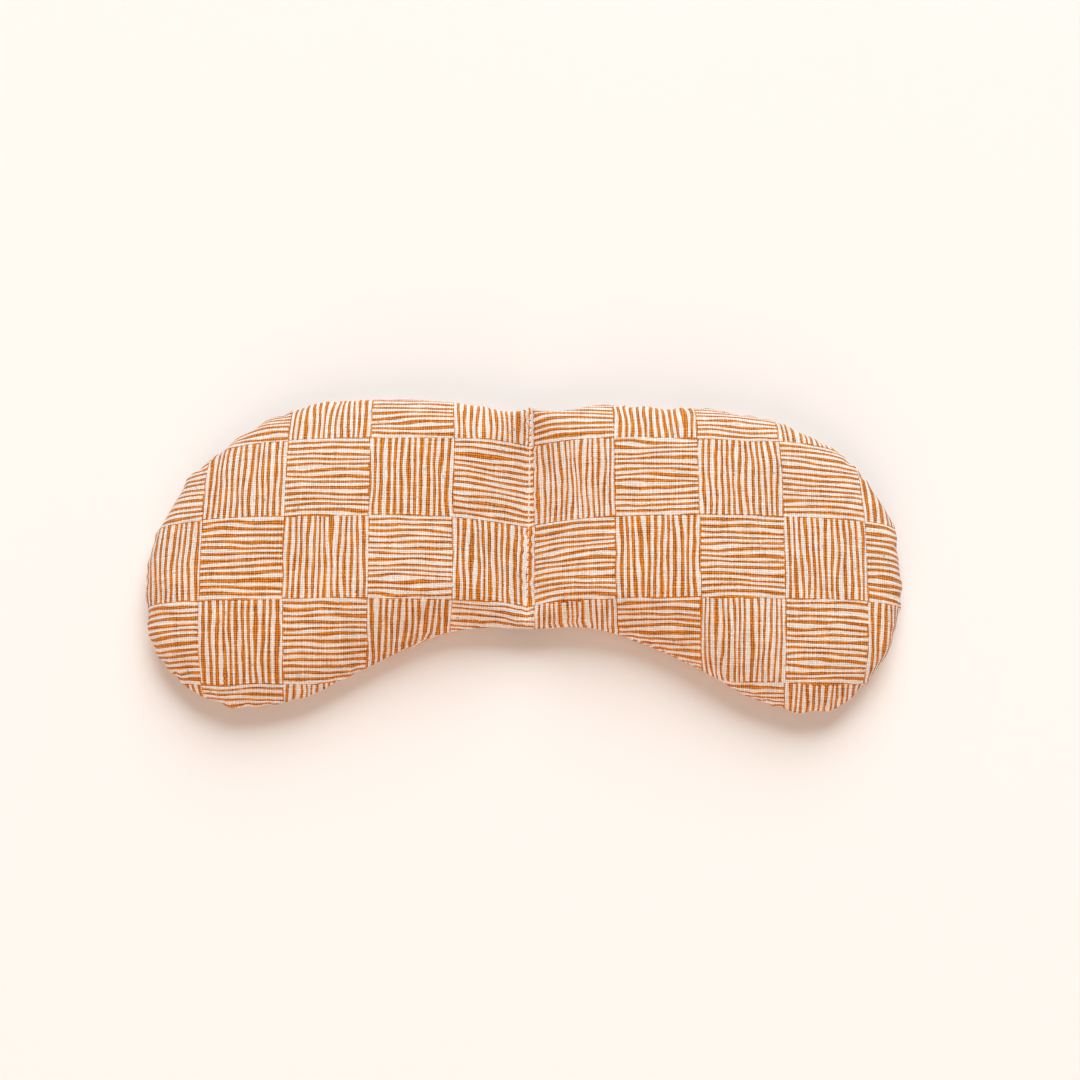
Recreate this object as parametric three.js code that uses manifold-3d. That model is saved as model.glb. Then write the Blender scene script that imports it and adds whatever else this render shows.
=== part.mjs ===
// A contoured eye pillow: two grain-filled lobes in one printed fabric cover, divided by a line of
// stitching down the middle, which is also the line that the pillow folds on.
//
// Frame: millimetres, +X along the pillow, +Y towards the forehead edge, +Z up. The origin is on the
// surface that the pillow lies on, under the middle of its bounding box. The pillow is the same on both
// sides of the plane X = 0, so shapes are made for the right lobe and mirrored for the left one.

import * as THREE from "three";
import { mergeVertices } from "three/addons/utils/BufferGeometryUtils.js";
import Module from "manifold-3d";

// Outer form
const HALF_LENGTH = 120;
const CROWN_Y = 48.3; // the forehead edge at the stitching
const SHOULDER = { x: 56, y: 49.4, slope: 0.04 }; // where the forehead edge turns down to the temple
const SIDE_Y = -10; // where the outline is widest
const TIP = { x: 85.5, y: -50.5 }; // the lowest point of a lobe
const ARCH_Y = -23.4; // the top of the arch over the nose
const SEAM_Z = 7; // the plane where the front and back panels meet
const THICKNESS = 22;
const LOBE_CENTRE = { x: 62, y: 1 };

// Cloth, thread and the room left between pieces
const CLOTH = 0.6;
const GAP = 0.3;
const THREAD_R = 0.2;
const SEAM_ALLOWANCE = 6; // the turned-in edge of each panel
const SEAM_INSET = 3.5; // how far inside the outline the seam's thread runs
const PRESSED_WIDTH = 1.6; // how far each panel lies flat beside the middle stitching

// The middle stitching, from the arch to the forehead edge
const STITCH = 2.5;
const STITCH_COUNT = 26;
const STITCH_START_Y = -18.8;
const NEEDLE_HOLE_R = 0.7;

// The gap on the forehead edge of each lobe that the grain goes in through, closed by hand
const CLOSING_FROM_X = 8;
const CLOSING_TO_X = 42;
const CLOSING_PITCH = 4;

// A surface's height follows the share of the way in from the seam to the middle of the lobe. The top
// rises steeply from the outline, and in a gentler slope from the fold.
const EDGE_EXPONENT = 0.5;
const FOLD_EXPONENT = 0.76;
const FOLD_REACH = 22; // how far from the fold its gentler slope is felt
const FLAT_FROM = 0.3; // the underside is flat past this share

// Mesh resolution
const OUTLINE_STEPS = 34;
const FOLD_STEPS = 8;
const THREAD_SIDES = 6;
const HOLE_SIDES = 5;
const DOME_SHARES = [0.72, 0.5, 0.33, 0.2, 0.1, 0.04]; // where the curved surfaces have rings
const DISH_SHARES = [FLAT_FROM, 0.2, 0.12, 0.06, 0.025];

const bottomDrop = (share) => 1 - Math.max(0, 1 - share / FLAT_FROM) ** 2;
const bottomShareAt = (drop) => FLAT_FROM * (1 - Math.sqrt(1 - drop));

const wasm = await Module();
wasm.setup();

// The seam line of the right lobe, from the forehead edge round the temple to the arch over the nose.
function seamLine() {
  const line = new THREE.Path();
  const before = SHOULDER.y + 24 * SHOULDER.slope;
  const after = SHOULDER.y - 34 * SHOULDER.slope;
  line.moveTo(0, CROWN_Y);
  line.bezierCurveTo(16, CROWN_Y, SHOULDER.x - 24, before, SHOULDER.x, SHOULDER.y);
  line.bezierCurveTo(SHOULDER.x + 34, after, HALF_LENGTH, SIDE_Y + 32, HALF_LENGTH, SIDE_Y);
  line.bezierCurveTo(HALF_LENGTH, SIDE_Y - 26, TIP.x + 22, TIP.y, TIP.x, TIP.y);
  line.bezierCurveTo(TIP.x - 19, TIP.y, 39, ARCH_Y, 0, ARCH_Y);
  return line;
}

// The closed outline of the right lobe, clockwise seen from above: the seam line, then the fold line.
function lobeOutline() {
  const points = seamLine().getSpacedPoints(OUTLINE_STEPS);
  for (let i = 1; i < FOLD_STEPS; i++) {
    points.push(new THREE.Vector2(0, THREE.MathUtils.lerp(ARCH_Y, CROWN_Y, i / FOLD_STEPS)));
  }
  return points;
}

const OUTLINE = lobeOutline();
const RAYS = OUTLINE.map((p) => Math.hypot(LOBE_CENTRE.x - p.x, LOBE_CENTRE.y - p.y));
const EXPONENTS = OUTLINE.map((p) =>
  THREE.MathUtils.lerp(EDGE_EXPONENT, FOLD_EXPONENT, Math.exp(-p.x / FOLD_REACH)),
);

// How much of its height the top has gained at a share of the way in from outline point i, and back.
const topRise = (i, share) => Math.sin((Math.PI / 2) * share) ** EXPONENTS[i];
const topShareAt = (i, rise) => Math.asin(rise ** (1 / EXPONENTS[i])) / (Math.PI / 2);

// A ring of points, each at its own share of the way from the outline to the middle, and own height.
function ringAt(shareOf, heightOf) {
  return OUTLINE.map((p, i) => {
    const s = shareOf(i);
    const x = THREE.MathUtils.lerp(p.x, LOBE_CENTRE.x, s);
    return new THREE.Vector3(x, THREE.MathUtils.lerp(p.y, LOBE_CENTRE.y, s), heightOf(i));
  });
}

// The share of the way in that a panel's turned edge takes, or its pressed edge on the fold line.
function turnedShare(i, extra = 0) {
  const width = OUTLINE[i].x === 0 ? PRESSED_WIDTH : SEAM_ALLOWANCE;
  return (width + extra) / RAYS[i];
}

// A closed mesh through rings in order, from one point on the middle of the lobe to another.
function skin(firstZ, rings, lastZ) {
  const n = OUTLINE.length;
  const middle = (z) => new THREE.Vector3(LOBE_CENTRE.x, LOBE_CENTRE.y, z);
  const points = [middle(firstZ), ...rings.flat(), middle(lastZ)];
  const index = [];
  for (let i = 0; i < n; i++) {
    const j = (i + 1) % n;
    index.push(0, 1 + j, 1 + i);
    for (let a = 1; a < points.length - 1 - n; a += n) {
      index.push(a + i, a + j, a + n + i, a + j, a + n + j, a + n + i);
    }
    const last = points.length - 1;
    index.push(last - n + i, last - n + j, last);
  }
  const geometry = new THREE.BufferGeometry().setFromPoints(points);
  return geometry.setIndex(index);
}

// The front half of the cover over one lobe: a dome with its edge turned in under it.
function frontHalf() {
  const under = SEAM_Z + GAP / 2;
  const base = under + CLOTH;
  const rise = THICKNESS - base;
  const dome = (s, depth = 0) => ringAt(() => s, (i) => base + rise * topRise(i, s) - depth);
  const rings = [
    ...DOME_SHARES.map((s) => dome(s)),
    ringAt(() => 0, () => base),
    ringAt(() => 0, () => under),
    ringAt((i) => turnedShare(i), () => under),
    ringAt((i) => turnedShare(i), () => base),
    ringAt((i) => topShareAt(i, CLOTH / rise), () => base),
    ...DOME_SHARES.toReversed().map((s) => dome(s, CLOTH)),
  ];
  return skin(THICKNESS, rings, THICKNESS - CLOTH);
}

// The back half of the cover under one lobe: a shallow dish with a flat base and its edge turned in.
function backHalf() {
  const over = SEAM_Z - GAP / 2;
  const base = over - CLOTH;
  const dish = (s, depth = 0) => ringAt(() => s, () => base * (1 - bottomDrop(s)) + depth);
  const rings = [
    ...DISH_SHARES.map((s) => dish(s, CLOTH)),
    ringAt(() => bottomShareAt(CLOTH / base), () => base),
    ringAt((i) => turnedShare(i), () => base),
    ringAt((i) => turnedShare(i), () => over),
    ringAt(() => 0, () => over),
    ringAt(() => 0, () => base),
    ...DISH_SHARES.toReversed().map((s) => dish(s)),
  ];
  return skin(CLOTH, rings, 0);
}

// The grain in one lobe, with a groove round it that holds the turned edges and their stitching.
function grain() {
  const lining = CLOTH + GAP;
  const groove = 2 * THREAD_R + GAP;
  const topBase = SEAM_Z + GAP / 2 + CLOTH;
  const bottomBase = SEAM_Z - GAP / 2 - CLOTH;
  const topHeight = THICKNESS - topBase;
  const lowestShare = bottomShareAt((groove + lining) / bottomBase);
  const dishShares = DISH_SHARES.filter((s) => s > lowestShare);
  const outermost = Math.max(DOME_SHARES.at(-1), dishShares.at(-1));
  const wall = (i) => Math.max(turnedShare(i, 0.5), outermost + 0.01);
  const rings = [
    ...DOME_SHARES.map((s) => ringAt(() => s, (i) => topBase + topHeight * topRise(i, s) - lining)),
    ringAt(wall, () => topBase + groove),
    ringAt(wall, () => bottomBase - groove),
    ...dishShares.toReversed().map((s) => ringAt(() => s, () => bottomBase * (1 - bottomDrop(s)) + lining)),
  ];
  return skin(THICKNESS - lining, rings, lining);
}

// The same shape on the other side of the plane X = 0.
function mirrored(geometry) {
  const copy = geometry.clone().scale(-1, 1, 1);
  return copy.setIndex([...copy.index.array].reverse());
}

function toSolid(geometry) {
  const mesh = new wasm.Mesh({
    numProp: 3,
    vertProperties: new Float32Array(geometry.attributes.position.array),
    triVerts: new Uint32Array(geometry.index.array),
  });
  return new wasm.Manifold(mesh);
}

function toGeometry(solid) {
  const mesh = solid.getMesh();
  const geometry = new THREE.BufferGeometry();
  geometry.setAttribute("position", new THREE.BufferAttribute(mesh.vertProperties, 3));
  return geometry.setIndex(new THREE.BufferAttribute(mesh.triVerts, 1));
}

// One panel of the cover: its two halves are one cut of cloth, pierced along the middle stitching.
function panel(half) {
  let solid = toSolid(half).add(toSolid(mirrored(half)));
  for (let k = 0; k <= STITCH_COUNT; k++) {
    solid = solid.subtract(needleHole(STITCH_START_Y + k * STITCH));
  }
  return toGeometry(solid);
}

function needleHole(y) {
  const positions = [];
  const index = [];
  const top = 2 * HOLE_SIDES;
  for (let i = 0; i < HOLE_SIDES; i++) {
    const angle = (2 * Math.PI * i) / HOLE_SIDES;
    const j = (i + 1) % HOLE_SIDES;
    const x = NEEDLE_HOLE_R * Math.cos(angle);
    const dy = NEEDLE_HOLE_R * Math.sin(angle);
    positions.push(x, y + dy, SEAM_Z - 4, x, y + dy, SEAM_Z + 4);
    index.push(2 * i, 2 * j, 2 * i + 1, 2 * j, 2 * j + 1, 2 * i + 1);
    index.push(top, 2 * j, 2 * i, top + 1, 2 * i + 1, 2 * j + 1);
  }
  positions.push(0, y, SEAM_Z - 4, 0, y, SEAM_Z + 4);
  const geometry = new THREE.BufferGeometry();
  geometry.setAttribute("position", new THREE.Float32BufferAttribute(positions, 3));
  return toSolid(geometry.setIndex(index));
}

// A round thread through a list of points.
function threadThrough(points, steps) {
  const section = new THREE.Shape().absarc(0, 0, THREAD_R, 0, 2 * Math.PI);
  const geometry = new THREE.ExtrudeGeometry(section, {
    steps,
    curveSegments: THREAD_SIDES / 2,
    extrudePath: new THREE.CatmullRomCurve3(points),
    bevelEnabled: false,
  });
  geometry.deleteAttribute("normal");
  geometry.deleteAttribute("uv");
  return mergeVertices(geometry);
}

// One thread of the seam that joins the panels, from the filling gap round the lobe to the fold.
// side is 1 for the needle thread, on the front panel's turned edge, and -1 for the bobbin thread.
function seamThread(side) {
  const z = SEAM_Z + side * (GAP / 2 + CLOTH + GAP + THREAD_R);
  const points = ringAt((i) => SEAM_INSET / RAYS[i], () => z)
    .slice(1, OUTLINE_STEPS)
    .filter((p) => p.x > CLOSING_TO_X || p.y < 0);
  return threadThrough(points, points.length);
}

// The hand stitches that close a filling gap, over the edge from one panel to the other and back.
function closingThread() {
  const edge = seamLine()
    .getSpacedPoints(200)
    .filter((p) => p.y > 0 && p.x >= CLOSING_FROM_X && p.x <= CLOSING_TO_X);
  const turns = 2 * Math.round((CLOSING_TO_X - CLOSING_FROM_X) / CLOSING_PITCH);
  const points = [];
  for (let k = 0; k <= turns; k++) {
    const p = edge[Math.round(((edge.length - 1) * k) / turns)];
    const reach = (k % 2 ? 1 : -1) * (GAP / 2 + CLOTH);
    points.push(new THREE.Vector3(p.x, p.y + GAP + THREAD_R, SEAM_Z + reach));
  }
  return threadThrough(points, turns * 2);
}

// One thread of the middle lockstitch: it lies along the fold, and dips into each needle hole towards
// the other thread. side is 1 for the needle thread and -1 for the bobbin thread.
function foldThread(side) {
  const low = GAP / 2 + THREAD_R;
  const high = GAP / 2 + CLOTH + GAP + THREAD_R;
  const dip = [
    { y: 0, z: low },
    { y: 0.2 * STITCH, z: high },
    { y: 0.5 * STITCH, z: high },
    { y: 0.8 * STITCH, z: high },
  ];
  const points = [];
  for (let k = 0; k < STITCH_COUNT; k++) {
    const start = STITCH_START_Y + k * STITCH;
    points.push(...dip.map(({ y, z }) => new THREE.Vector3(0, start + y, SEAM_Z + side * z)));
  }
  points.push(new THREE.Vector3(0, STITCH_START_Y + STITCH_COUNT * STITCH, SEAM_Z + side * low));
  return threadThrough(points, STITCH_COUNT * dip.length);
}

const printedCloth = new THREE.MeshStandardMaterial({ color: 0xdca27a, roughness: 0.95, metalness: 0 });
const grainMix = new THREE.MeshStandardMaterial({ color: 0x6b4a2b, roughness: 0.7, metalness: 0 });
const whiteThread = new THREE.MeshStandardMaterial({ color: 0xf2ece2, roughness: 0.7, metalness: 0 });

const pillow = new THREE.Group();

function addPiece(name, geometry, material) {
  const piece = new THREE.Mesh(geometry, material);
  piece.name = name;
  pillow.add(piece);
}

function addPair(name, geometry, material) {
  addPiece(`right_${name}`, geometry, material);
  addPiece(`left_${name}`, mirrored(geometry), material);
}

addPiece("front_panel", panel(frontHalf()), printedCloth);
addPiece("back_panel", panel(backHalf()), printedCloth);
addPair("grain_fill", grain(), grainMix);
addPair("seam_needle_thread", seamThread(1), whiteThread);
addPair("seam_bobbin_thread", seamThread(-1), whiteThread);
addPair("closing_thread", closingThread(), whiteThread);
addPiece("fold_needle_thread", foldThread(1), whiteThread);
addPiece("fold_bobbin_thread", foldThread(-1), whiteThread);

export default pillow;
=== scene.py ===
"""The looks of a contoured eye pillow: a printed cotton cover in two lobes, filled with grain.

The cover starts as two flat panels, sewn together round the edge and along the middle. Cloth
simulation fills it with grain and lays it on the floor. The flat panels' coordinates stay on the
cloth, and the print is drawn on them.
"""

import math

import bpy
import numpy as np
from mathutils import Matrix, Vector, geometry


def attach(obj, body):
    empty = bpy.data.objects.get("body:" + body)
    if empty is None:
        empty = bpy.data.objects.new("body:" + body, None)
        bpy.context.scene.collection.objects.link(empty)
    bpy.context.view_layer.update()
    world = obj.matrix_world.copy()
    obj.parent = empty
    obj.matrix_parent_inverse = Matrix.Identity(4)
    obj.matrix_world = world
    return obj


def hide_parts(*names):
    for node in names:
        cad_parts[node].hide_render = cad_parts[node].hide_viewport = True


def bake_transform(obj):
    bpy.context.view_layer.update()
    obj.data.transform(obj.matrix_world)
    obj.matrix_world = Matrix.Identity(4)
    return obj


MM = 0.001

# ---- The cut of the cover, in millimetres, before it is filled ----
HALF_LENGTH = 120
CROWN_Y = 48.3  # the forehead edge at the middle
SHOULDER = (56, 49.4)  # where the forehead edge turns down to the temple
SHOULDER_SLOPE = 0.04
SIDE_Y = -10  # the height of the end of a lobe
TIP = (85.5, -50.5)  # the lowest point of a lobe
ARCH_Y = -23.4  # the top of the arch over the nose
STITCHES_STOP = 5.5  # the middle stitching stops this short of the arch's edge
# how far the curve's handles reach before and after each of those points
CROWN_HANDLE = 16
SHOULDER_HANDLES = (24, 34)
SIDE_HANDLES = (29, 26)
TIP_HANDLES = (22, 19)
ARCH_HANDLE = 39
# the right and left lobes, 1 and -1, are cut a little differently
LENGTH_SHIFT = {1: -1.5, -1: 0.5}
ARCH_SHIFT = {1: 1.5, -1: -6.0}
TIP_SHIFT = {1: 1.3, -1: 0.0}
SHOULDER_SHIFT = {1: -0.7, -1: 0.2}
SIDE_SHIFT = {1: 5.0, -1: -1.5}
# how much wider than the filled pillow the flat panels are
EASE = 3.2
TEMPLE_EASE = 5.0  # at the rounded ends
TEMPLE_SPAN = (60, 105)  # how far from the middle that begins, and is full
CROWN_EASE = 0.3  # at the middle of the forehead edge, where stitching holds the panels flat
CROWN_SPAN = (0, 26)  # how far from the middle that begins to end, and has ended

# ---- The filling simulation, in millimetres unless it says otherwise ----
SPACING = 2.1  # mesh size on the flat panels
CLEARANCE = 0.62  # of the mesh size, kept free of other points beside the seam
TOUCHING = 1e-6
SIM_SCALE = 10  # the solver works on a pillow this many times bigger
SIM_FRAMES = 32
FILL_VOLUME = 320e-6  # cubic metres that the grain pushes for
GRAIN_WEIGHT = 0.6  # how much harder the grain pushes at the bottom than at the top
SEAM_HEIGHT = 7  # of the seam above the floor, at the start
START_RISE = 9  # how far above the seam the front panel starts
RISE_REACH = 9  # and how far in from the seam it takes to rise
START_DROP = 4  # how far below the seam the back panel starts
DROP_REACH = 6
OPEN_SLOPE = 0.7  # how soon the panels part where the middle stitching has stopped

# ---- Evening out the cloth after the simulation, in millimetres ----
SEAM_CALM = 8  # how far along the seam line its turned-in allowance evens out the puckers
SEAM_REACH = 9  # how far from the seam that still shows
SEAM_LIMIT = 2.5 * SEAM_REACH  # and where it has faded to nothing
MIDDLE_REACH = 12  # how far from the middle stitching its own pinch is left as it is
FACET = 26  # the usual length between the clips in the allowance, where the outline turns a corner
FACET_RANGE = (0.7, 1.3)  # the shortest and longest, as shares of that
FACET_SHARE = 0.4  # how straight the seam runs between them
FACET_SEED = 7
CALM_ROUNDS = 2
CALM_SHARE = 0.6

# ---- The print and the weave, in millimetres on the flat cloth unless it says otherwise ----
BLOCK_X = 26.7
BLOCK_Y = 26.7
PRINT_CORNER = (2.0, 7.9)  # where four blocks meet
PRINT_TURN = 0.019  # the panel is cut a little askew to the print, in radians
BACK_SHIFT = (9.0, 6.0)  # the back panel is cut from another place in the print
STROKES = 13  # in a block, and one or two more in some
EDGE_HALF_WIDTH = 0.27  # of the space between strokes
STROKE_HALF_WIDTH = 0.485
FAT = 0.34  # how much a stroke swells and thins along its length
RAGGED = 0.22  # how rough the cloth leaves its edge
LEAN = 1.15  # how far neighbouring strokes lean together, in spaces between strokes
SWAY = 0.28  # and how far each one waves
END_GAP = 0.05  # the least that a stroke stops short of its block's edge
END_GAP_MORE = 0.5  # and how much further short it may stop
YARN = 0.68
SLUB = 0.9  # how far thick and thin places push the yarns along, in yarns
UV_UNIT = 100  # one unit of the flat map is this many millimetres

# ---- Stitching, in millimetres ----
STITCH = 2.45
THREAD_R = 0.2
MIDDLE_HOLE = 0.15  # half of the space between two middle stitches
SEAM_HOLE = 0.2  # and between two of the hidden ones
SEAM_INSET = 1.6  # how far inside the seam those run
SEAM_ENDS = 6  # how far from the ends of the seam they start and stop
CLOSING_FROM = 8  # along the forehead edge from the middle, where the grain went in
CLOSING_TO = 42
CLOSING_PITCH = 4

# ---- The camera and the floor, in metres and degrees ----
CAMERA_TILT = 15  # from straight above
CAMERA_ROLL = 1
CAMERA_AIM = (0.0038, 0.0029, 0.010)
VIEW_WIDTH = 0.3447  # at the pillow
FLOOR_RADIUS = 9.0
FLOOR_CURVE = 1.5
WALL_TOP = 3.6

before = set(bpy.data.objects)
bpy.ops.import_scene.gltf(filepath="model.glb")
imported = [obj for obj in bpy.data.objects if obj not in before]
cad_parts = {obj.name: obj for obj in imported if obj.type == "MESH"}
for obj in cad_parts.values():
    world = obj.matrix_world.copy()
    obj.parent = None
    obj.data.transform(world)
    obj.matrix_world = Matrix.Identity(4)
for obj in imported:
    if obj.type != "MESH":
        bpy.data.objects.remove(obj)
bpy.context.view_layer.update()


# ---------------------------------------------------------------- the flat panels


def bezier(points, steps=60):
    a, b, c, d = (np.array(p, float) for p in points)
    t = np.linspace(0, 1, steps, endpoint=False)[:, None]
    return (1 - t) ** 3 * a + 3 * (1 - t) ** 2 * t * b + 3 * (1 - t) * t**2 * c + t**3 * d


def half_outline(side):
    """Half of the seam line, drawn on the right, from the forehead edge to the nose arch."""
    sx, sy = SHOULDER
    tx, ty = TIP
    end = HALF_LENGTH + LENGTH_SHIFT[side]
    sy += SHOULDER_SHIFT[side]
    ty += TIP_SHIFT[side]
    side_y = SIDE_Y + SIDE_SHIFT[side]
    shift = ARCH_SHIFT[side]
    before, after = SHOULDER_HANDLES
    up, down = SIDE_HANDLES
    out, back = TIP_HANDLES
    shoulder_before = (sx - before, sy + before * SHOULDER_SLOPE)
    shoulder_after = (sx + after, sy - after * SHOULDER_SLOPE)
    parts = [
        bezier([(0, CROWN_Y), (CROWN_HANDLE, CROWN_Y), shoulder_before, (sx, sy)]),
        bezier([(sx, sy), shoulder_after, (end, side_y + up), (end, side_y)]),
        bezier([(end, side_y), (end, side_y - down), (tx + out, ty), (tx, ty)]),
        bezier([(tx, ty), (tx - back + shift, ty), (ARCH_HANDLE + shift, ARCH_Y), (0, ARCH_Y)]),
        [(0, ARCH_Y)],
    ]
    return np.vstack(parts)


def smooth_step(value, low, high):
    share = np.clip((value - low) / (high - low), 0, 1)
    return share * share * (3 - 2 * share)


def with_ease(line):
    along = np.gradient(line, axis=0)
    along /= np.linalg.norm(along, axis=1)[:, None]
    near_crown = (1 - smooth_step(line[:, 0], *CROWN_SPAN)) * (line[:, 1] > 0)
    near_temple = smooth_step(line[:, 0], *TEMPLE_SPAN)
    ease = EASE + (CROWN_EASE - EASE) * near_crown + (TEMPLE_EASE - EASE) * near_temple
    moved = line + ease[:, None] * np.stack([-along[:, 1], along[:, 0]], 1)
    moved[[0, -1], 0] = 0
    return moved


def evenly_spaced(line, spacing):
    steps = np.linalg.norm(np.diff(line, axis=0), axis=1)
    run = np.concatenate([[0], np.cumsum(steps)])
    at = np.linspace(0, run[-1], round(run[-1] / spacing) + 1)
    return np.stack([np.interp(at, run, line[:, 0]), np.interp(at, run, line[:, 1])], 1)


def seam_outline():
    """The flat outline as a ring of points, clockwise from the middle of the forehead edge."""
    right, left = (evenly_spaced(with_ease(half_outline(side)), SPACING) for side in (1, -1))
    return np.vstack([right, left[1:-1][::-1] * (-1, 1)]), right[0, 1], right[-1, 1]


def beside_ring(ring, points):
    """Each point's nearest place on the ring, counted in the ring's steps, and its distance."""
    step = np.roll(ring, -1, axis=0) - ring
    share = np.clip(((points[:, None] - ring) * step).sum(2) / (step**2).sum(1), 0, 1)
    away = np.sqrt(((points[:, None] - ring - share[..., None] * step) ** 2).sum(2))
    nearest = away.argmin(1)
    rows = np.arange(len(points))
    return nearest + share[rows, nearest], away[rows, nearest]


def is_inside(ring, points):
    x, y = points.T
    found = np.zeros(len(points), bool)
    for (x1, y1), (x2, y2) in zip(ring, np.roll(ring, -1, axis=0)):
        if y1 != y2:
            crosses = (y1 > y) != (y2 > y)
            found ^= crosses & (x < (x2 - x1) * (y - y1) / (y2 - y1) + x1)
    return found


def lattice(ring):
    """Points inside the outline in staggered rows, the same on both sides of the middle."""
    points = []
    row = SPACING * math.sqrt(3) / 2
    reach = HALF_LENGTH + 2 * TEMPLE_EASE
    for j in range(-int(reach / row), int(reach / row) + 1):
        first = SPACING * (0.5 if j % 2 else 1)
        for x in np.arange(first, reach, SPACING):
            points += [(x, j * row), (-x, j * row)]
    points = np.array(points)
    points = points[is_inside(ring, points)]
    return points[beside_ring(ring, points)[1] > CLEARANCE * SPACING]


class Panels:
    """Two panels as one mesh, in millimetres: flat is the cut, start has a little air in it."""

    def __init__(self):
        ring, top_y, arch_y = seam_outline()
        middle_y = np.linspace(arch_y, top_y, round((top_y - arch_y) / SPACING) + 1)[1:-1]
        middle = np.stack([np.zeros(len(middle_y)), middle_y], 1)
        points = np.vstack([ring, middle, lattice(ring)])
        count, first = len(ring), len(ring)
        edges = [(i, (i + 1) % count) for i in range(count)]
        edges += [(first + i, first + i + 1) for i in range(len(middle) - 1)]
        cut = geometry.delaunay_2d_cdt([Vector(p) for p in points], edges, [], 1, 1e-6)
        flat = np.array([v[:] for v in cut[0]])
        source = np.array([o[0] for o in cut[3]])
        on_seam = source < count
        on_middle = (source >= count) & (source < count + len(middle))
        stitched = on_middle & (flat[:, 1] > arch_y + STITCHES_STOP)
        self.fill_in(flat, on_seam | stitched, [self.upwards(flat, f) for f in cut[2]], ring, arch_y)

    @staticmethod
    def upwards(flat, face):
        (ax, ay), (bx, by), (cx, cy) = flat[list(face)]
        return face if (bx - ax) * (cy - ay) > (by - ay) * (cx - ax) else face[::-1]

    def fill_in(self, flat, shared, faces, ring, arch_y):
        seam_run, from_seam = beside_ring(ring, flat)
        below_stitches = np.maximum(0, arch_y + STITCHES_STOP - flat[:, 1])
        inset = np.minimum(from_seam, np.abs(flat[:, 0]) + OPEN_SLOPE * below_stitches)
        rise = np.where(shared, 0, START_RISE * (1 - np.exp(-inset / RISE_REACH)))
        drop = np.where(shared, 0, START_DROP * (1 - np.exp(-inset / DROP_REACH)))
        count = len(flat)
        back = np.arange(count)
        back[~shared] = count + np.arange((~shared).sum())
        self.front_count = count
        self.front_faces = np.array(faces)
        self.back_faces = back[self.front_faces][:, ::-1]
        lower = flat[~shared]
        self.flat = np.vstack([flat, lower])
        height = np.concatenate([SEAM_HEIGHT + rise, SEAM_HEIGHT - drop[~shared]])
        self.start = np.column_stack([self.flat, height])
        self.from_seam = np.concatenate([from_seam, from_seam[~shared]])
        self.seam_run = np.concatenate([seam_run, seam_run[~shared]])
        self.ring = np.array([int(np.argmin(((flat - place) ** 2).sum(1))) for place in ring])


# ---------------------------------------------------------------- the filling simulation


def sim_mesh(panels):
    scale = SIM_SCALE * MM
    mesh = bpy.data.meshes.new("filling")
    faces = np.vstack([panels.front_faces, panels.back_faces])
    mesh.from_pydata((panels.start * scale).tolist(), [], faces.tolist())
    obj = bpy.data.objects.new("filling", mesh)
    bpy.context.scene.collection.objects.link(obj)
    obj.shape_key_add(name="Basis")
    cut = obj.shape_key_add(name="Cut")
    level = np.full(len(panels.flat), SEAM_HEIGHT)
    cut.data.foreach_set("co", (np.column_stack([panels.flat, level]) * scale).ravel())
    cut.value = 0
    return obj, cut


def sim_floor():
    side = 4
    mesh = bpy.data.meshes.new("filling_floor")
    corners = [(-side, -side, 0), (side, -side, 0), (side, side, 0), (-side, side, 0)]
    mesh.from_pydata(corners, [], [(0, 1, 2, 3)])
    mesh.update()
    floor = bpy.data.objects.new("filling_floor", mesh)
    bpy.context.scene.collection.objects.link(floor)
    floor.modifiers.new("contact", "COLLISION")
    floor.collision.thickness_outer = 0.02
    floor.collision.cloth_friction = 20
    return floor


def filled(panels):
    """The panels' points after grain has filled the cover, in millimetres, resting at height 0."""
    obj, cut = sim_mesh(panels)
    floor = sim_floor()
    modifier = obj.modifiers.new("filling", "CLOTH")
    cloth = modifier.settings
    cloth.rest_shape_key = cut
    cloth.quality = 8
    cloth.mass = 0.02
    cloth.air_damping = 3
    cloth.tension_stiffness = 80
    cloth.compression_stiffness = 20
    cloth.shear_stiffness = 3
    cloth.bending_stiffness = 0.02
    cloth.tension_damping = cloth.compression_damping = cloth.shear_damping = 10
    cloth.use_pressure = True
    cloth.uniform_pressure_force = 0
    cloth.use_pressure_volume = True
    cloth.target_volume = FILL_VOLUME * SIM_SCALE**3
    cloth.pressure_factor = 40
    cloth.fluid_density = GRAIN_WEIGHT
    modifier.collision_settings.distance_min = 0.005
    modifier.point_cache.frame_end = SIM_FRAMES
    for step in range(1, SIM_FRAMES + 1):
        bpy.context.scene.frame_set(step)
    settled = obj.evaluated_get(bpy.context.evaluated_depsgraph_get())
    points = np.empty(3 * len(panels.start), np.float32)
    settled.data.vertices.foreach_get("co", points)
    for made in (obj, floor):
        bpy.data.objects.remove(made)
    bpy.context.scene.frame_set(1)
    points = points.reshape(-1, 3).astype(float) / (SIM_SCALE * MM)
    points[:, 2] -= points[:, 2].min()
    return points


def faceted(line):
    """A closed line drawn part of the way to straight runs between clips in the allowance."""
    random = np.random.default_rng(FACET_SEED)
    count = len(line)
    corners = [0]
    while corners[-1] < count - 1.5 * FACET / SPACING:
        corners.append(corners[-1] + round(FACET * random.uniform(*FACET_RANGE) / SPACING))
    corners.append(count)
    places = np.arange(count)
    at_corners = line[np.array(corners) % count]
    straight = np.stack([np.interp(places, corners, at_corners[:, k]) for k in range(3)], 1)
    return line + FACET_SHARE * (straight - line)


def apart(run, count):
    """How far apart places on a ring of count points are, the shorter way round."""
    gap = np.abs(run[:, None] - run)
    return np.minimum(gap, count - gap) * SPACING


def between_points(values, run):
    """The values that a ring's points have, at places between them."""
    low, share = run.astype(int) % len(values), (run % 1)[:, None]
    return values[low] * (1 - share) + values[(low + 1) % len(values)] * share


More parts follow.
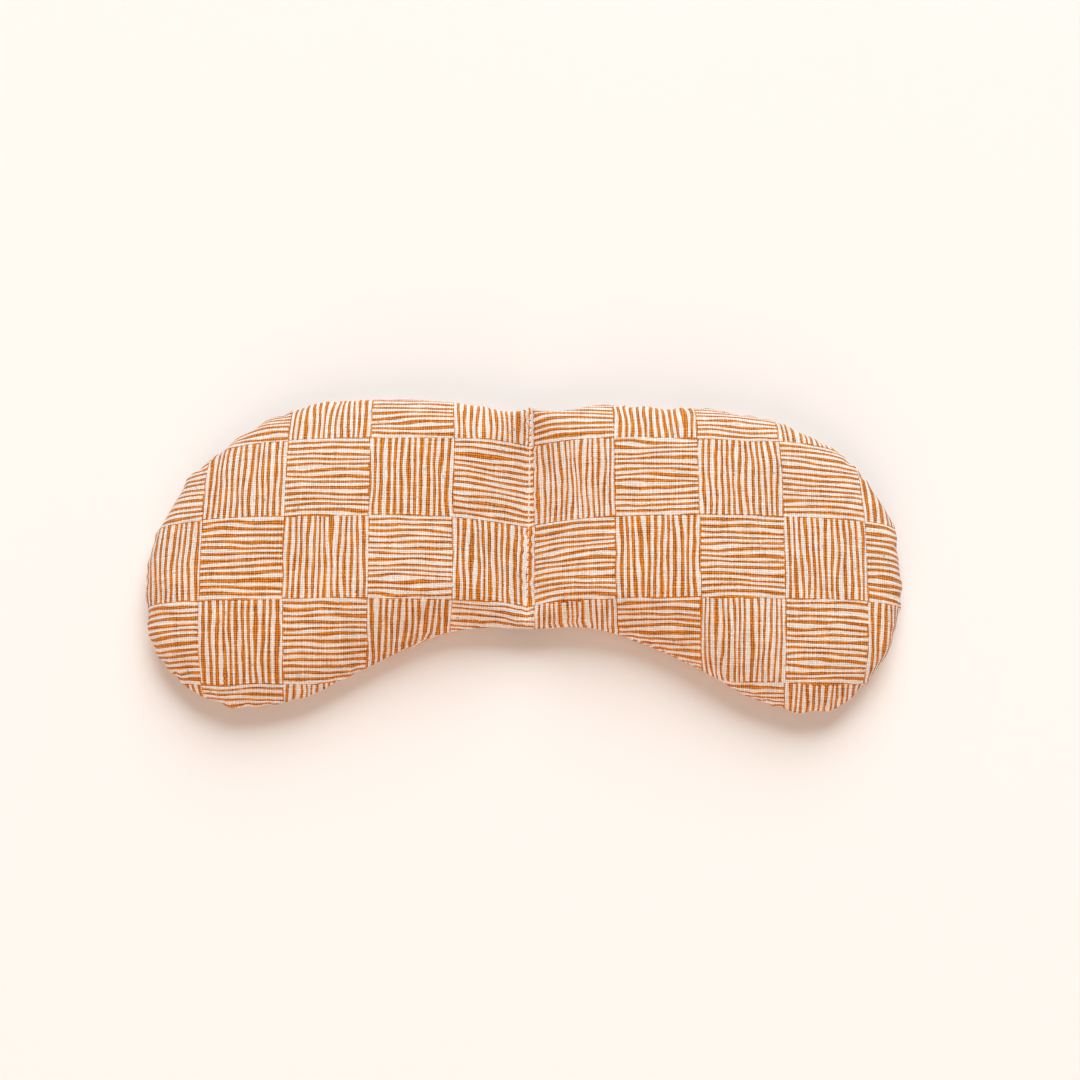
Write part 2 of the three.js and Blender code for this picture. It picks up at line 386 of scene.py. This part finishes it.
def even_seam(points, panels):
    """The seam allowance is four layers thick, so close to the seam it spreads the puckers out."""
    line = points[panels.ring]
    count = len(line)
    weight = np.exp(-0.5 * (apart(np.arange(count), count) / SEAM_CALM) ** 2)
    even = weight @ line / weight.sum(1)[:, None]
    target = faceted(even)
    along = np.roll(even, -1, axis=0) - np.roll(even, 1, axis=0)
    along[:, 2] = 0
    along /= np.linalg.norm(along, axis=1)[:, None]
    near = np.flatnonzero(panels.from_seam < SEAM_LIMIT)
    moved = points.copy()
    for layer in (near[near < panels.front_count], near[near >= panels.front_count]):
        run, away = panels.seam_run[layer], panels.from_seam[layer]
        forward = between_points(along, run)
        inward = np.stack([forward[:, 1], -forward[:, 0], 0 * run], 1)
        upward = 0 * forward + (0, 0, 1)
        axes = np.stack([forward, inward, upward], 1)
        offset = ((points[layer] - between_points(even, run))[:, None] * axes).sum(2)
        along_seam = (apart(run, count) / SEAM_CALM) ** 2
        weight = np.exp(-0.5 * along_seam - 0.5 * (away[:, None] - away) ** 2)
        offset = weight @ offset / weight.sum(1)[:, None]
        place = between_points(target, run) + (offset[..., None] * axes).sum(1)
        held = 1 - np.exp(-((panels.flat[layer, 0] / MIDDLE_REACH) ** 2))
        much = np.exp(-((away / SEAM_REACH) ** 2)) * held
        moved[layer] += much[:, None] * (place - points[layer])
    return moved


def calmed(points, panels):
    """Takes out the roughness that is finer than the mesh can carry, and leaves the folds."""
    faces = np.vstack([panels.front_faces, panels.back_faces])
    held = (panels.from_seam < TOUCHING) | (np.abs(panels.flat[:, 0]) < TOUCHING)
    pairs = np.vstack([faces[:, [0, 1]], faces[:, [1, 2]], faces[:, [2, 0]]])
    pairs = np.vstack([pairs, pairs[:, ::-1]])
    count = np.bincount(pairs[:, 0], minlength=len(points))[:, None]
    moved = points.copy()
    for _ in range(CALM_ROUNDS):
        total = np.zeros_like(moved)
        np.add.at(total, pairs[:, 0], moved[pairs[:, 1]])
        moved += CALM_SHARE * ~held[:, None] * (total / count - moved)
    return moved


# ---------------------------------------------------------------- node trees


class Tree:
    """Short names for the shader nodes that a material is made of."""

    def __init__(self, name):
        self.material = bpy.data.materials.new(name)
        self.material.use_nodes = True
        self.nodes = self.material.node_tree.nodes
        self.links = self.material.node_tree.links
        self.shader = self.nodes["Principled BSDF"]

    def put(self, socket, value):
        if isinstance(value, bpy.types.NodeSocket):
            self.links.new(value, socket)
        elif socket.type == "VECTOR":
            socket.default_value = value[:3]
        elif value is not None:
            socket.default_value = value

    def math(self, operation, a, b=None, c=None):
        node = self.nodes.new("ShaderNodeMath")
        node.operation = operation
        for socket, value in zip(node.inputs, (a, b, c)):
            self.put(socket, value)
        return node.outputs[0]

    def add(self, a, b):
        return self.math("ADD", a, b)

    def sub(self, a, b):
        return self.math("SUBTRACT", a, b)

    def mul(self, a, b):
        return self.math("MULTIPLY", a, b)

    def pick(self, a, b, share):
        """a where share is 0, b where it is 1."""
        return self.add(a, self.mul(self.sub(b, a), share))

    def vector(self, x, y, z=0.0):
        node = self.nodes.new("ShaderNodeCombineXYZ")
        for socket, value in zip(node.inputs, (x, y, z)):
            self.put(socket, value)
        return node.outputs[0]

    def noise(self, vector, scale=1.0, detail=0.0):
        """Smooth noise about 0, from about -0.5 to 0.5."""
        node = self.nodes.new("ShaderNodeTexNoise")
        self.put(node.inputs["Vector"], vector)
        node.inputs["Scale"].default_value = scale
        node.inputs["Detail"].default_value = detail
        return self.sub(node.outputs["Fac"], 0.5)

    def chance(self, vector):
        """One number from 0 to 1 for each vector."""
        node = self.nodes.new("ShaderNodeTexWhiteNoise")
        self.put(node.inputs["Vector"], vector)
        return node.outputs["Value"]

    def ramp(self, value, low, high):
        """A smooth step from 0 at low to 1 at high."""
        node = self.nodes.new("ShaderNodeMapRange")
        node.interpolation_type = "SMOOTHSTEP"
        self.put(node.inputs["Value"], value)
        self.put(node.inputs["From Min"], low)
        self.put(node.inputs["From Max"], high)
        return node.outputs["Result"]

    def mix(self, a, b, share):
        """Colour a where share is 0, b where it is 1."""
        node = self.nodes.new("ShaderNodeMix")
        node.data_type = "RGBA"
        first, second = (socket for socket in node.inputs if socket.type == "RGBA")
        self.put(node.inputs[0], share)
        self.put(first, a)
        self.put(second, b)
        return next(socket for socket in node.outputs if socket.type == "RGBA")

    def scaled(self, colour, share):
        """A colour made darker or lighter."""
        node = self.nodes.new("ShaderNodeVectorMath")
        node.operation = "SCALE"
        self.put(node.inputs[0], colour)
        self.put(node.inputs["Scale"], share)
        return node.outputs[0]

    def bump(self, height, distance, strength=1.0):
        node = self.nodes.new("ShaderNodeBump")
        node.inputs["Distance"].default_value = distance
        node.inputs["Strength"].default_value = strength
        self.put(node.inputs["Height"], height)
        self.put(self.shader.inputs["Normal"], node.outputs["Normal"])

    def set(self, name, value):
        self.put(self.shader.inputs[name], value)


def linear(red, green, blue):
    def one(value):
        value /= 255
        return value / 12.92 if value <= 0.04045 else ((value + 0.055) / 1.055) ** 2.4

    return (one(red), one(green), one(blue), 1)


# ---------------------------------------------------------------- materials


def flat_place(t):
    """x and y on the flat cloth, in millimetres."""
    node = t.nodes.new("ShaderNodeUVMap")
    node.uv_map = "cut"
    split = t.nodes.new("ShaderNodeSeparateXYZ")
    t.links.new(node.outputs["UV"], split.inputs[0])
    return t.mul(split.outputs["X"], UV_UNIT), t.mul(split.outputs["Y"], UV_UNIT)


def print_mask(t, x, y):
    """1 on a pale stroke of the print, and 0 on the orange between strokes."""
    turned_x = t.add(t.mul(x, math.cos(PRINT_TURN)), t.mul(y, math.sin(PRINT_TURN)))
    turned_y = t.sub(t.mul(y, math.cos(PRINT_TURN)), t.mul(x, math.sin(PRINT_TURN)))
    across_blocks = t.mul(t.sub(turned_x, PRINT_CORNER[0]), 1 / BLOCK_X)
    up_blocks = t.mul(t.sub(turned_y, PRINT_CORNER[1]), 1 / BLOCK_Y)
    column = t.math("FLOOR", across_blocks)
    row = t.math("FLOOR", up_blocks)
    in_x = t.sub(across_blocks, column)
    in_y = t.sub(up_blocks, row)
    level = t.math("FLOORED_MODULO", t.add(column, row), 2.0)  # 1 where the strokes lie along X
    across = t.pick(in_x, in_y, level)
    along = t.pick(in_y, in_x, level)
    wide = t.pick(BLOCK_X, BLOCK_Y, level)
    long = t.pick(BLOCK_Y, BLOCK_X, level)
    seed = t.chance(t.vector(column, row, 0.5))
    strokes = t.add(STROKES, t.math("ROUND", t.mul(seed, 2.0)))
    border = 0.5 - EDGE_HALF_WIDTH  # the outer strokes run along the block's own edges
    place = t.add(border, t.mul(across, t.sub(strokes, 2 * border)))
    shift = t.mul(seed, 61.0)
    lean = t.mul(t.noise(t.vector(t.mul(place, 0.42), t.mul(along, 1.3), shift)), LEAN)
    waves = t.vector(t.mul(place, 0.8), t.mul(along, 3.4), t.add(shift, 9.0))
    sway = t.mul(t.noise(waves), SWAY)
    wobbly = t.add(place, t.add(lean, sway))
    stroke = t.math("FLOOR", wobbly)
    off_centre = t.math("ABSOLUTE", t.sub(t.sub(wobbly, stroke), 0.5))
    pitch = t.math("DIVIDE", wide, strokes)
    first_gap = t.add(END_GAP, t.mul(t.chance(t.vector(stroke, seed, 1.5)), END_GAP_MORE))
    last_gap = t.add(END_GAP, t.mul(t.chance(t.vector(stroke, seed, 2.5)), END_GAP_MORE))
    from_ends = t.math("MAXIMUM", t.sub(first_gap, t.mul(along, long)),
                       t.sub(t.mul(along, long), t.sub(long, last_gap)))
    past_end = t.mul(t.math("MAXIMUM", t.add(from_ends, 0.1), 0.0), 2.0)
    side = t.mul(off_centre, pitch)
    distance = t.math("SQRT", t.add(t.mul(side, side), t.mul(past_end, past_end)))
    fat = t.mul(t.noise(t.vector(t.mul(stroke, 5.3), t.mul(along, 5.0), shift)), FAT)
    ragged = t.mul(t.noise(t.vector(x, y, 3.0), scale=1.5, detail=1.0), RAGGED)
    half_width = t.add(t.add(STROKE_HALF_WIDTH, fat), ragged)
    return t.ramp(t.sub(half_width, distance), -0.1, 0.1)


def weave(t, x, y):
    """The height of a plain weave's yarns from 0 to 1, and how light each yarn is, about 0."""
    slub_x = t.mul(t.noise(t.vector(t.mul(x, 0.9), t.mul(y, 0.05), 6.0)), SLUB)
    slub_y = t.mul(t.noise(t.vector(t.mul(x, 0.05), t.mul(y, 0.9), 7.0)), SLUB)
    u = t.add(t.mul(x, 1 / YARN), slub_x)
    v = t.add(t.mul(y, 1 / YARN), slub_y)
    column = t.math("FLOOR", u)
    row = t.math("FLOOR", v)
    over = t.math("FLOORED_MODULO", t.add(column, row), 2.0)
    hump_x = t.math("ABSOLUTE", t.math("SINE", t.mul(u, math.pi)))
    hump_y = t.math("ABSOLUTE", t.math("SINE", t.mul(v, math.pi)))
    round_x = t.math("POWER", hump_x, 0.5)
    round_y = t.math("POWER", hump_y, 0.5)
    height = t.pick(t.mul(round_x, t.add(0.55, t.mul(hump_y, 0.45))),
                    t.mul(round_y, t.add(0.55, t.mul(hump_x, 0.45))), over)
    warp = t.noise(t.vector(t.mul(column, 3.7), t.mul(v, 0.13), 1.0))
    weft = t.noise(t.vector(t.mul(u, 0.13), t.mul(row, 3.7), 5.0))
    return height, t.pick(warp, weft, over), t.vector(column, row, 0.0)


def printed_cotton(name, shift):
    """Cotton canvas, woven pale and printed orange except where the strokes are, with painted shade
    darkening the gaps between the yarns.
    """
    t = Tree(name)
    x, y = flat_place(t)
    x = t.add(x, shift[0])
    y = t.add(y, shift[1])
    pale = print_mask(t, x, y)
    height, yarn, cell = weave(t, x, y)
    cream = linear(246, 240, 234)
    orange = linear(231, 142, 30)
    # The darkest ink colour is painted shade: the orange as it looks down in the gaps between the yarns.
    ink_gap_shade = linear(100, 30, 4)
    # 1 on the yarns' tops and 0 in the gaps between them, shifted a little by each yarn's own random
    # tone; the ink and the pale cloth are both painted darker towards the gaps, as painted shade.
    top = t.ramp(t.add(height, t.mul(yarn, 0.6)), 0.25, 0.9)
    ink_with_gap_shade = t.mix(ink_gap_shade, orange, top)
    bare_with_gap_shade = t.scaled(cream, t.add(0.72, t.mul(top, 0.28)))
    colour = t.mix(ink_with_gap_shade, bare_with_gap_shade, pale)
    speck = t.mul(t.ramp(t.chance(cell), 0.994, 0.997), 0.3)
    cloudy = t.mul(t.noise(t.vector(x, y, 8.0), scale=0.06, detail=2.0), 0.12)
    light = t.sub(t.add(t.add(0.98, t.mul(yarn, 0.26)), cloudy), speck)
    t.set("Base Color", t.scaled(colour, light))
    t.set("Roughness", t.sub(0.8, t.mul(height, 0.08)))
    t.set("Specular IOR Level", 0.25)
    t.set("Sheen Weight", 0.08)
    t.set("Sheen Roughness", 0.5)
    fibre = t.mul(t.noise(t.vector(x, y, 2.0), scale=6.0, detail=2.0), 0.35)
    t.bump(t.add(height, fibre), 0.00016)
    return t.material


def spun_thread():
    """White spun thread, with its twist."""
    t = Tree("spun_thread")
    place = t.nodes.new("ShaderNodeTexCoord").outputs["Object"]
    fuzz = t.noise(place, scale=2600, detail=2.0)
    base = linear(244, 238, 230)
    t.set("Base Color", t.scaled(base, t.add(0.95, t.mul(fuzz, 0.25))))
    t.set("Roughness", t.add(0.75, t.mul(fuzz, 0.2)))
    t.set("Sheen Weight", 0.2)
    t.bump(fuzz, 0.00005)
    return t.material


def plain_floor():
    t = Tree("studio_floor")
    place = t.nodes.new("ShaderNodeTexCoord").outputs["Object"]
    mottle = t.mul(t.noise(place, scale=8.0), 0.004)
    t.set("Base Color", t.scaled((0.985, 0.99, 1), t.add(0.885, mottle)))
    t.set("Roughness", 0.95)
    t.set("Specular IOR Level", 0.0)
    return t.material


# ---------------------------------------------------------------- the cover


def new_piece(name, points, faces, material):
    mesh = bpy.data.meshes.new(name)
    corners = [tuple(int(i) for i in face) for face in faces]
    mesh.from_pydata([tuple(p * MM) for p in points], [], corners)
    mesh.materials.append(material)
    mesh.polygons.foreach_set("use_smooth", np.ones(len(mesh.polygons), bool))
    obj = bpy.data.objects.new(name, mesh)
    bpy.context.scene.collection.objects.link(obj)
    return obj


def panel_piece(name, points, flat, faces, material, turned):
    """One panel of the cover with its own points, its flat map, and one round of subdivision."""
    used, local = np.unique(faces, return_inverse=True)
    local = local.reshape(faces.shape)
    obj = new_piece(name, points[used], local, material)
    place = flat[used] * ((-1, 1) if turned else (1, 1)) / UV_UNIT
    corners = obj.data.uv_layers.new(name="cut")
    corners.data.foreach_set("uv", place[local.ravel()].ravel())
    finer = obj.modifiers.new("finer", "SUBSURF")
    finer.levels = finer.render_levels = 1
    finer.uv_smooth = "NONE"
    bpy.context.view_layer.objects.active = obj
    bpy.ops.object.modifier_apply(modifier=finer.name)
    return obj


def make_cover(panels):
    points = even_seam(filled(panels), panels)
    points = calmed(points, panels)
    front = panel_piece("front_panel_cloth", points, panels.flat, panels.front_faces,
                        printed_cotton("printed_cotton_front", (0, 0)), False)
    back = panel_piece("back_panel_cloth", points, panels.flat, panels.back_faces,
                       printed_cotton("printed_cotton_back", BACK_SHIFT), True)
    return front, back, points


# ---------------------------------------------------------------- stitching


def surface_height(obj, x, y, from_above):
    """The height of a piece's surface over a point, in millimetres."""
    start = Vector((x * MM, y * MM, 0.1 if from_above else -0.1))
    hit, place, _, _ = obj.ray_cast(start, Vector((0, 0, -1 if from_above else 1)))
    return place.z / MM if hit else None


def thread_piece(lines, name, radius, material, sides=8):
    """Round thread along each line of points, as one mesh with closed ends."""
    points, faces = [], []
    for line in lines:
        line = np.array(line)
        along = np.gradient(line, axis=0)
        along /= np.linalg.norm(along, axis=1)[:, None]
        side = np.cross(along, np.eye(3)[np.abs(along).sum(0).argmin()])
        side /= np.linalg.norm(side, axis=1)[:, None]
        up = np.cross(along, side)
        first, last = len(points), len(line) - 1
        for i, place in enumerate(line):
            width = radius * (0.55 if i in (0, last) else 1)
            for k in range(sides):
                angle = 2 * math.pi * k / sides
                outwards = math.cos(angle) * side[i] + math.sin(angle) * up[i]
                points.append(place + width * outwards)
        for i in range(last):
            for k in range(sides):
                a = first + i * sides + k
                b = first + i * sides + (k + 1) % sides
                faces.append((a, b, b + sides, a + sides))
        faces.append([first + k for k in range(sides)][::-1])
        faces.append([first + last * sides + k for k in range(sides)])
    return new_piece(name, points, faces, material)


def middle_stitches(panel, name, from_above, material):
    """The middle line's stitches on one panel, each from needle hole to needle hole."""
    sign = 1 if from_above else -1
    low = ARCH_Y + STITCHES_STOP
    shares = np.linspace(0, 1, 9)
    lines = []
    for k in range(int((CROWN_Y - 1 - low) / STITCH)):
        start = low + k * STITCH
        line = []
        for share in shares:
            y = start + MIDDLE_HOLE + share * (STITCH - 2 * MIDDLE_HOLE)
            z = surface_height(panel, 0, y, from_above)
            if z is None:
                break
            rise = THREAD_R * (1.9 * math.sin(math.pi * share) ** 0.5 - 0.9)
            line.append((0.12 * (share - 0.5), y, z + sign * rise))
        if len(line) == len(shares):
            lines.append(line)
    return thread_piece(lines, name, THREAD_R, material)


class SeamLine:
    """The seam round one lobe after filling: places along it, and the direction inwards."""

    def __init__(self, panels, points, side):
        ring = points[panels.ring]
        inwards = np.roll(ring, -1, axis=0) - np.roll(ring, 1, axis=0)
        inwards = np.column_stack([inwards[:, 1], -inwards[:, 0], np.zeros(len(ring))])
        inwards /= np.linalg.norm(inwards, axis=1)[:, None]
        x, y = panels.flat[panels.ring].T
        turn = int(np.argmin(np.where(y > 0, np.inf, np.abs(x))))  # the middle of the arch
        chosen = np.arange(turn + 1) if side > 0 else -np.arange(len(ring) - turn + 1)
        self.ring, self.inwards = ring[chosen], inwards[chosen]
        steps = np.linalg.norm(np.diff(self.ring, axis=0), axis=1)
        self.run = np.concatenate([[0], np.cumsum(steps)])

    def at(self, run, inset=0.0, rise=0.0):
        place = [np.interp(run, self.run, self.ring[:, k] + inset * self.inwards[:, k]) for k in range(3)]
        return np.array(place) + (0, 0, rise)


def seam_stitches(seam, name, rise, material):
    """The hidden stitches that join the panels, just inside the seam."""
    lines = []
    for start in np.arange(SEAM_ENDS, seam.run[-1] - SEAM_ENDS, STITCH):
        runs = start + SEAM_HOLE + np.linspace(0, 1, 4) * (STITCH - 2 * SEAM_HOLE)
        lines.append([seam.at(run, SEAM_INSET, rise) for run in runs])
    return thread_piece(lines, name, THREAD_R, material, sides=6)


def closing_stitches(seam, front, back, name, material):
    """Small slip stitches across the seam, which close the gap that the grain went in through."""
    lines = []
    for run in np.arange(CLOSING_FROM, CLOSING_TO, CLOSING_PITCH):
        ends = []
        for panel, shift, rise in ((front, -0.4, 0.9), (back, 0.4, -0.9)):
            beside = Vector(seam.at(run + shift, 0.8, rise)) * MM
            _, place, normal, _ = panel.closest_point_on_mesh(beside)
            ends.append(np.array(place) / MM + 0.08 * np.array(normal))
        over, under = seam.at(run - 0.2, -0.12, 0.25), seam.at(run + 0.2, -0.12, -0.25)
        lines.append([ends[0], over, under, ends[1]])
    return thread_piece(lines, name, 0.7 * THREAD_R, material)


# ---------------------------------------------------------------- the stage


def make_camera():
    """Nearly above the pillow, a little to the nose side, with the forehead edge at the top."""
    lens, sensor = 85, 36  # millimetres
    camera = bpy.data.cameras.new("camera")
    camera.lens = lens
    camera.sensor_width = sensor
    obj = bpy.data.objects.new("camera", camera)
    tilt = Matrix.Rotation(math.radians(CAMERA_TILT), 4, "X")
    turn = tilt @ Matrix.Rotation(math.radians(CAMERA_ROLL), 4, "Z")
    place = Vector(CAMERA_AIM) + turn @ Vector((0, 0, VIEW_WIDTH * lens / sensor))
    obj.matrix_world = Matrix.Translation(place) @ turn
    bpy.context.scene.collection.objects.link(obj)
    bpy.context.scene.camera = obj


def area_light(name, place, target, size, power, colour):
    light = bpy.data.lights.new(name, "AREA")
    light.shape = "DISK"
    light.size = size
    light.energy = power
    light.color = colour
    obj = bpy.data.objects.new(name, light)
    obj.location = place
    aim = Vector(target) - Vector(place)
    obj.rotation_euler = aim.to_track_quat("-Z", "Y").to_euler()
    bpy.context.scene.collection.objects.link(obj)


def sweep():
    """A pale floor that curves up into a wall all round, beyond the lamps."""
    angles = np.radians(np.arange(0, 91, 10))
    radii = [0.01, *(FLOOR_RADIUS + FLOOR_CURVE * np.sin(angles)), FLOOR_RADIUS + FLOOR_CURVE]
    heights = [0.0, *(FLOOR_CURVE - FLOOR_CURVE * np.cos(angles)), WALL_TOP]
    sides = 96
    turn = 2 * np.pi * np.arange(sides) / sides
    points = [
        np.array((radius * math.cos(angle), radius * math.sin(angle), height)) / MM
        for radius, height in zip(radii, heights)
        for angle in turn
    ]
    faces = []
    for i in range(len(radii) - 1):
        for k in range(sides):
            a, b = i * sides + k, i * sides + (k + 1) % sides
            faces.append((a, a + sides, b + sides, b))
    faces.append(tuple(range(sides)))
    return new_piece("floor", points, faces, plain_floor())


def make_stage():
    sweep()
    area_light("key", (0.8, 5.6, 4.7), (0, 0, 0), 7.0, 660, (0.93, 0.95, 0.95))
    area_light("fill", (-1.2, -6.0, 3.2), (0, 0, 0), 6.0, 290, (1.0, 0.68, 0.51))
    scene = bpy.context.scene
    world = bpy.data.worlds.new("studio")
    world.use_nodes = True
    world.node_tree.nodes["Background"].inputs["Color"].default_value = (1.0, 0.8, 0.66, 1)
    world.node_tree.nodes["Background"].inputs["Strength"].default_value = 0.36
    scene.world = world
    scene.view_settings.view_transform = "Standard"


# ---------------------------------------------------------------- the object


def main():
    make_camera()
    panels = Panels()
    front, back, points = make_cover(panels)
    thread = spun_thread()
    needle = middle_stitches(front, "fold_needle_stitches", True, thread)
    bobbin = middle_stitches(back, "fold_bobbin_stitches", False, thread)
    for body, side in (("right", 1), ("left", -1)):
        seam = SeamLine(panels, points, side)
        made = {
            "seam_needle": seam_stitches(seam, body + "_seam_needle_stitches", 0.25, thread),
            "seam_bobbin": seam_stitches(seam, body + "_seam_bobbin_stitches", -0.25, thread),
            "closing": closing_stitches(seam, front, back, body + "_closing_stitches", thread),
        }
        for node, piece in made.items():
            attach(piece, body + "_lobe")
            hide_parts(f"{body}_{node}_thread")
    cloth = [(front, "printed_cloth"), (back, "printed_cloth")]
    for piece, slot in cloth + [(needle, "thread"), (bobbin, "thread")]:
        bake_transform(piece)
    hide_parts("front_panel", "left_grain_fill", "right_grain_fill")
    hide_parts("back_panel")
    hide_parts("fold_needle_thread")
    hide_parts("fold_bobbin_thread")
    make_stage()


main()
